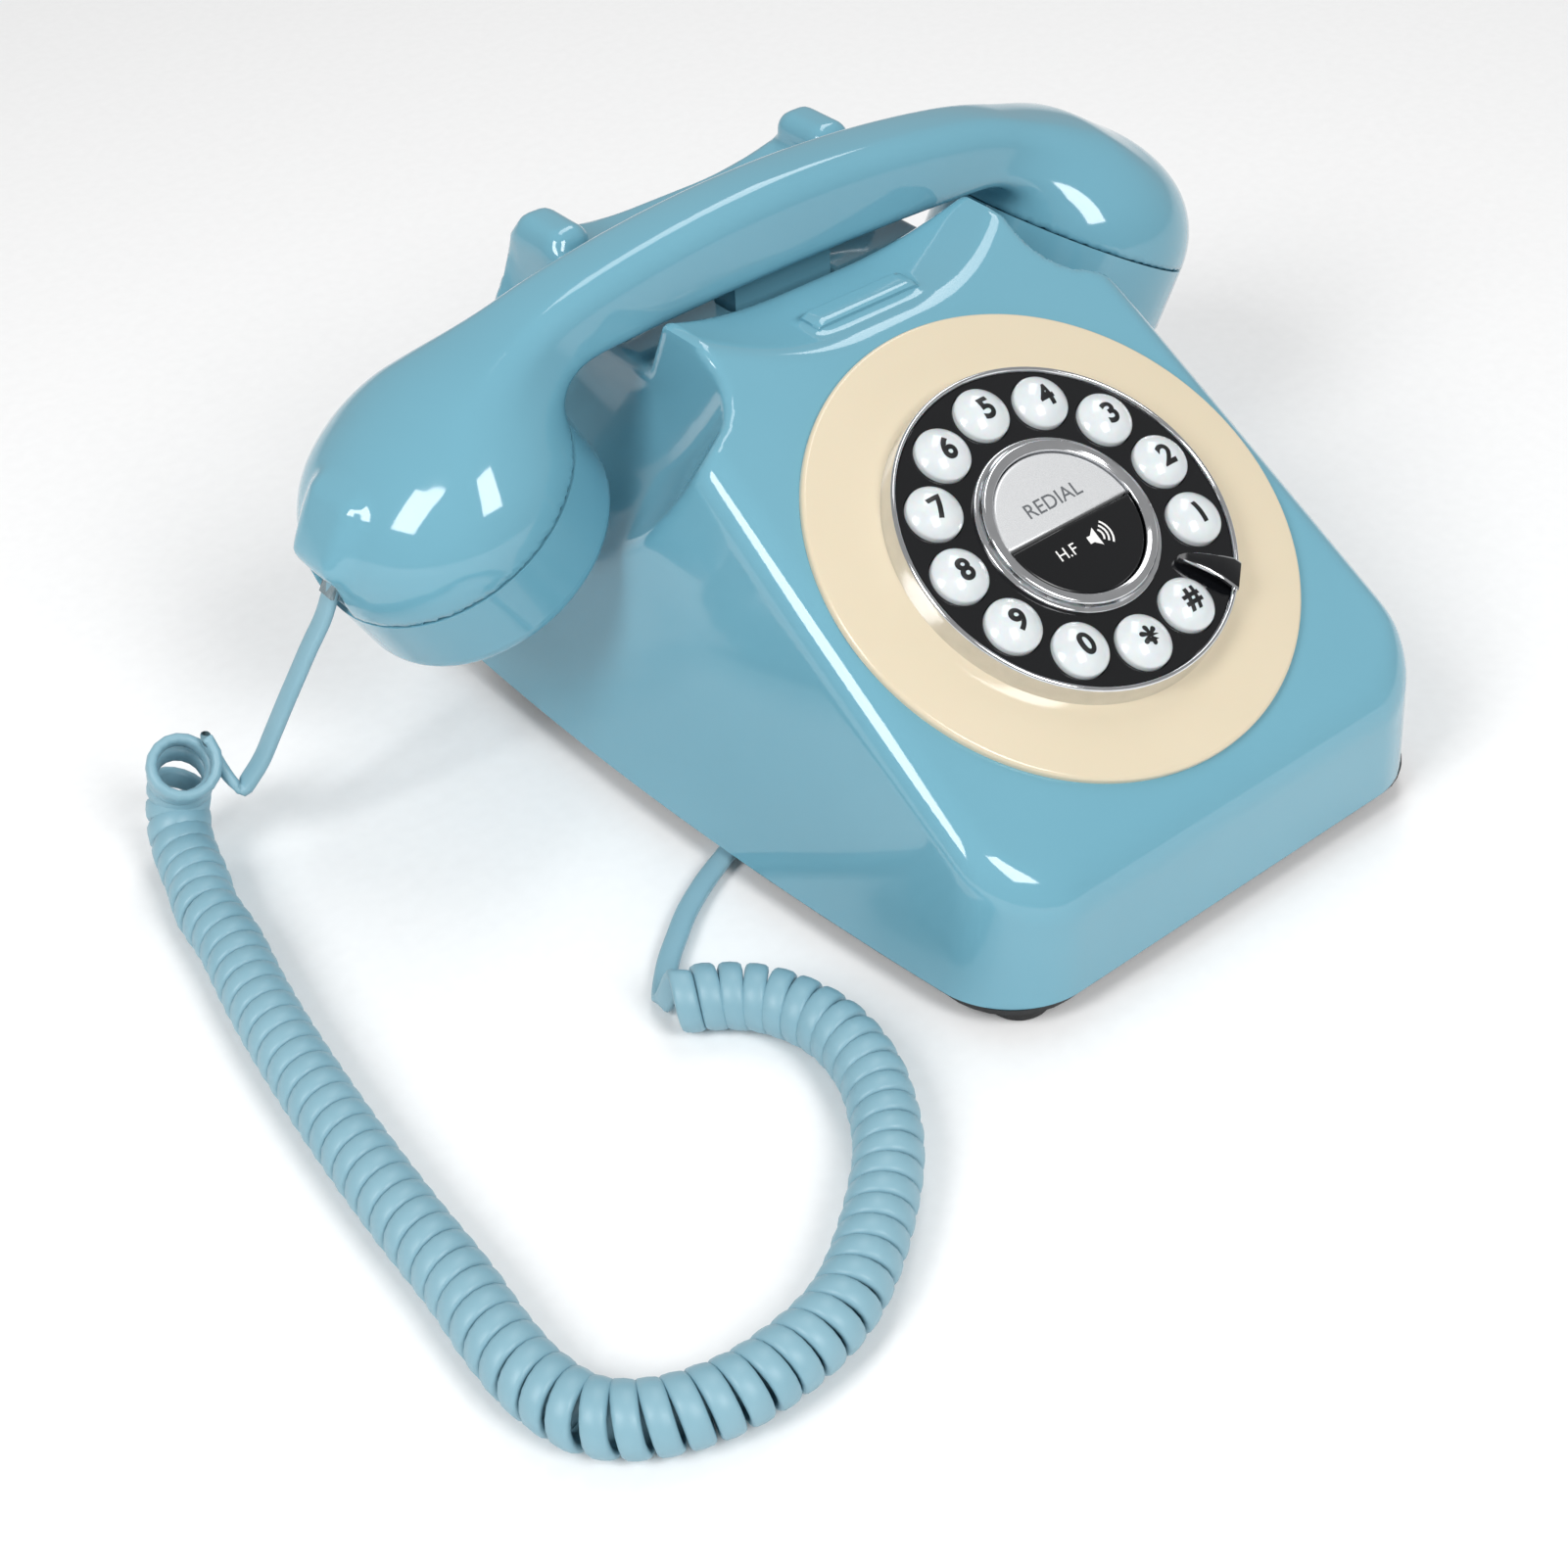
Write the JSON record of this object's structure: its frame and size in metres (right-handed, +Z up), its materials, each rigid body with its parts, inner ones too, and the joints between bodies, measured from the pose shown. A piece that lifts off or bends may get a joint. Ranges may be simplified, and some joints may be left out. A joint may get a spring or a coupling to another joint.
{
  "type": "desk telephone",
  "caption": "Corded desk telephone with a round push-button dial, a four-horned cradle, a lift-off handset and a coiled cord.",
  "frame": {"origin": "on the table, under the middle of the body", "axes": "+Z up, front of the telephone towards -Y, cord on the -X side"},
  "size_m": [0.296, 0.2302, 0.111],
  "materials": {
    "case_plastic": "glossy injection-moulded ABS",
    "black_plastic": "satin black moulded plastic",
    "foot_rubber": "moulded rubber",
    "screw_steel": "zinc-plated steel",
    "weight_steel": "bare steel plate",
    "cream_plastic": "glossy cream plastic",
    "chrome_plate": "chrome-plated plastic",
    "dial_black": "glossy black plastic",
    "key_white": "pearly translucent plastic",
    "silver_plastic": "satin silver plastic",
    "keypad_rubber": "silicone rubber",
    "circuit_board": "green solder mask",
    "chip_plastic": "moulded epoxy",
    "transformer": "laminated core with taped coil",
    "microphone_can": "drawn aluminium can",
    "speaker_metal": "pressed steel frame",
    "nylon": "moulded nylon",
    "spring_steel": "drawn spring wire",
    "foam": "soft foam",
    "clear_plug": "clear polycarbonate",
    "cord_plastic": "satin flexible plastic"
  },
  "bodies": {
    "base": {"upper_case": "case_plastic", "base_plate": "black_plastic", "rubber_feet": "foot_rubber", "base_screws": "screw_steel", "ballast_plate": "weight_steel", "dial_surround": "cream_plastic", "dial_bezel": "chrome_plate", "dial_plate": "dial_black", "dial_retainer": "black_plastic", "finger_stop": "chrome_plate", "centre_ring": "chrome_plate", "keypad_membrane": "keypad_rubber", "keypad_board": "circuit_board", "keypad_screws": "screw_steel", "main_board": "circuit_board", "board_screws": "screw_steel", "line_transformer": "transformer", "ringer_chip": "chip_plastic", "handsfree_mic": "microphone_can", "loudspeaker": "speaker_metal", "speaker_clamp": "black_plastic", "line_jack": "black_plastic", "base_cord_jack": "black_plastic", "hook_spring": "spring_steel", "hook_guide": "nylon", "hook_switch": "black_plastic", "handset_lead": "cord_plastic", "curly_cord": "cord_plastic", "base_lead": "cord_plastic", "base_plug": "clear_plug"},
    "handset": {"handset_shell": "case_plastic", "earpiece_cap": "case_plastic", "mouthpiece_cap": "case_plastic", "receiver_capsule": "speaker_metal", "receiver_pad": "foam", "microphone_capsule": "microphone_can", "microphone_holder": "black_plastic", "handset_weight": "weight_steel", "handset_jack": "black_plastic", "handset_plug": "clear_plug"},
    "hook": {"hook_plunger": "case_plastic"},
    "redial": {"redial_button": "silver_plastic"},
    "handsfree": {"handsfree_button": "dial_black"},
    "key_1": {"button_1": "key_white"},
    "key_2": {"button_2": "key_white"},
    "key_3": {"button_3": "key_white"},
    "key_4": {"button_4": "key_white"},
    "key_5": {"button_5": "key_white"},
    "key_6": {"button_6": "key_white"},
    "key_7": {"button_7": "key_white"},
    "key_8": {"button_8": "key_white"},
    "key_9": {"button_9": "key_white"},
    "key_0": {"button_0": "key_white"},
    "key_star": {"button_star": "key_white"},
    "key_hash": {"button_hash": "key_white"}
  },
  "joints": [
    {"name": "handset_lift", "type": "slide", "parent": "base", "child": "handset", "axis": [0, 0, 1], "range_m": [0, 0.08]},
    {"name": "hook_rise", "type": "slide", "parent": "base", "child": "hook", "axis": [0, 0, 1], "range_m": [0, 0.0038], "deforming": ["hook_spring"]},
    {"name": "key_1_press", "type": "slide", "parent": "base", "child": "key_1", "axis": [0, 0.5, -0.866], "range_m": [0, 0.0012], "stiffness_N_per_m": 400, "springref_m": -0.0003},
    {"name": "key_2_press", "type": "slide", "parent": "base", "child": "key_2", "axis": [0, 0.5, -0.866], "range_m": [0, 0.0012], "stiffness_N_per_m": 400, "springref_m": -0.0003},
    {"name": "key_3_press", "type": "slide", "parent": "base", "child": "key_3", "axis": [0, 0.5, -0.866], "range_m": [0, 0.0012], "stiffness_N_per_m": 400, "springref_m": -0.0003},
    {"name": "key_4_press", "type": "slide", "parent": "base", "child": "key_4", "axis": [0, 0.5, -0.866], "range_m": [0, 0.0012], "stiffness_N_per_m": 400, "springref_m": -0.0003},
    {"name": "key_5_press", "type": "slide", "parent": "base", "child": "key_5", "axis": [0, 0.5, -0.866], "range_m": [0, 0.0012], "stiffness_N_per_m": 400, "springref_m": -0.0003},
    {"name": "key_6_press", "type": "slide", "parent": "base", "child": "key_6", "axis": [0, 0.5, -0.866], "range_m": [0, 0.0012], "stiffness_N_per_m": 400, "springref_m": -0.0003},
    {"name": "key_7_press", "type": "slide", "parent": "base", "child": "key_7", "axis": [0, 0.5, -0.866], "range_m": [0, 0.0012], "stiffness_N_per_m": 400, "springref_m": -0.0003},
    {"name": "key_8_press", "type": "slide", "parent": "base", "child": "key_8", "axis": [0, 0.5, -0.866], "range_m": [0, 0.0012], "stiffness_N_per_m": 400, "springref_m": -0.0003},
    {"name": "key_9_press", "type": "slide", "parent": "base", "child": "key_9", "axis": [0, 0.5, -0.866], "range_m": [0, 0.0012], "stiffness_N_per_m": 400, "springref_m": -0.0003},
    {"name": "key_0_press", "type": "slide", "parent": "base", "child": "key_0", "axis": [0, 0.5, -0.866], "range_m": [0, 0.0012], "stiffness_N_per_m": 400, "springref_m": -0.0003},
    {"name": "key_star_press", "type": "slide", "parent": "base", "child": "key_star", "axis": [0, 0.5, -0.866], "range_m": [0, 0.0012], "stiffness_N_per_m": 400, "springref_m": -0.0003},
    {"name": "key_hash_press", "type": "slide", "parent": "base", "child": "key_hash", "axis": [0, 0.5, -0.866], "range_m": [0, 0.0012], "stiffness_N_per_m": 400, "springref_m": -0.0003},
    {"name": "redial_press", "type": "slide", "parent": "base", "child": "redial", "axis": [0, 0.5, -0.866], "range_m": [0, 0.0011], "stiffness_N_per_m": 400, "springref_m": -0.0005},
    {"name": "handsfree_press", "type": "slide", "parent": "base", "child": "handsfree", "axis": [0, 0.5, -0.866], "range_m": [0, 0.0011], "stiffness_N_per_m": 400, "springref_m": -0.0005}
  ],
  "couplings": [
    {"joint": "hook_rise", "follows": "handset_lift", "ratio": 0.0475}
  ]
}
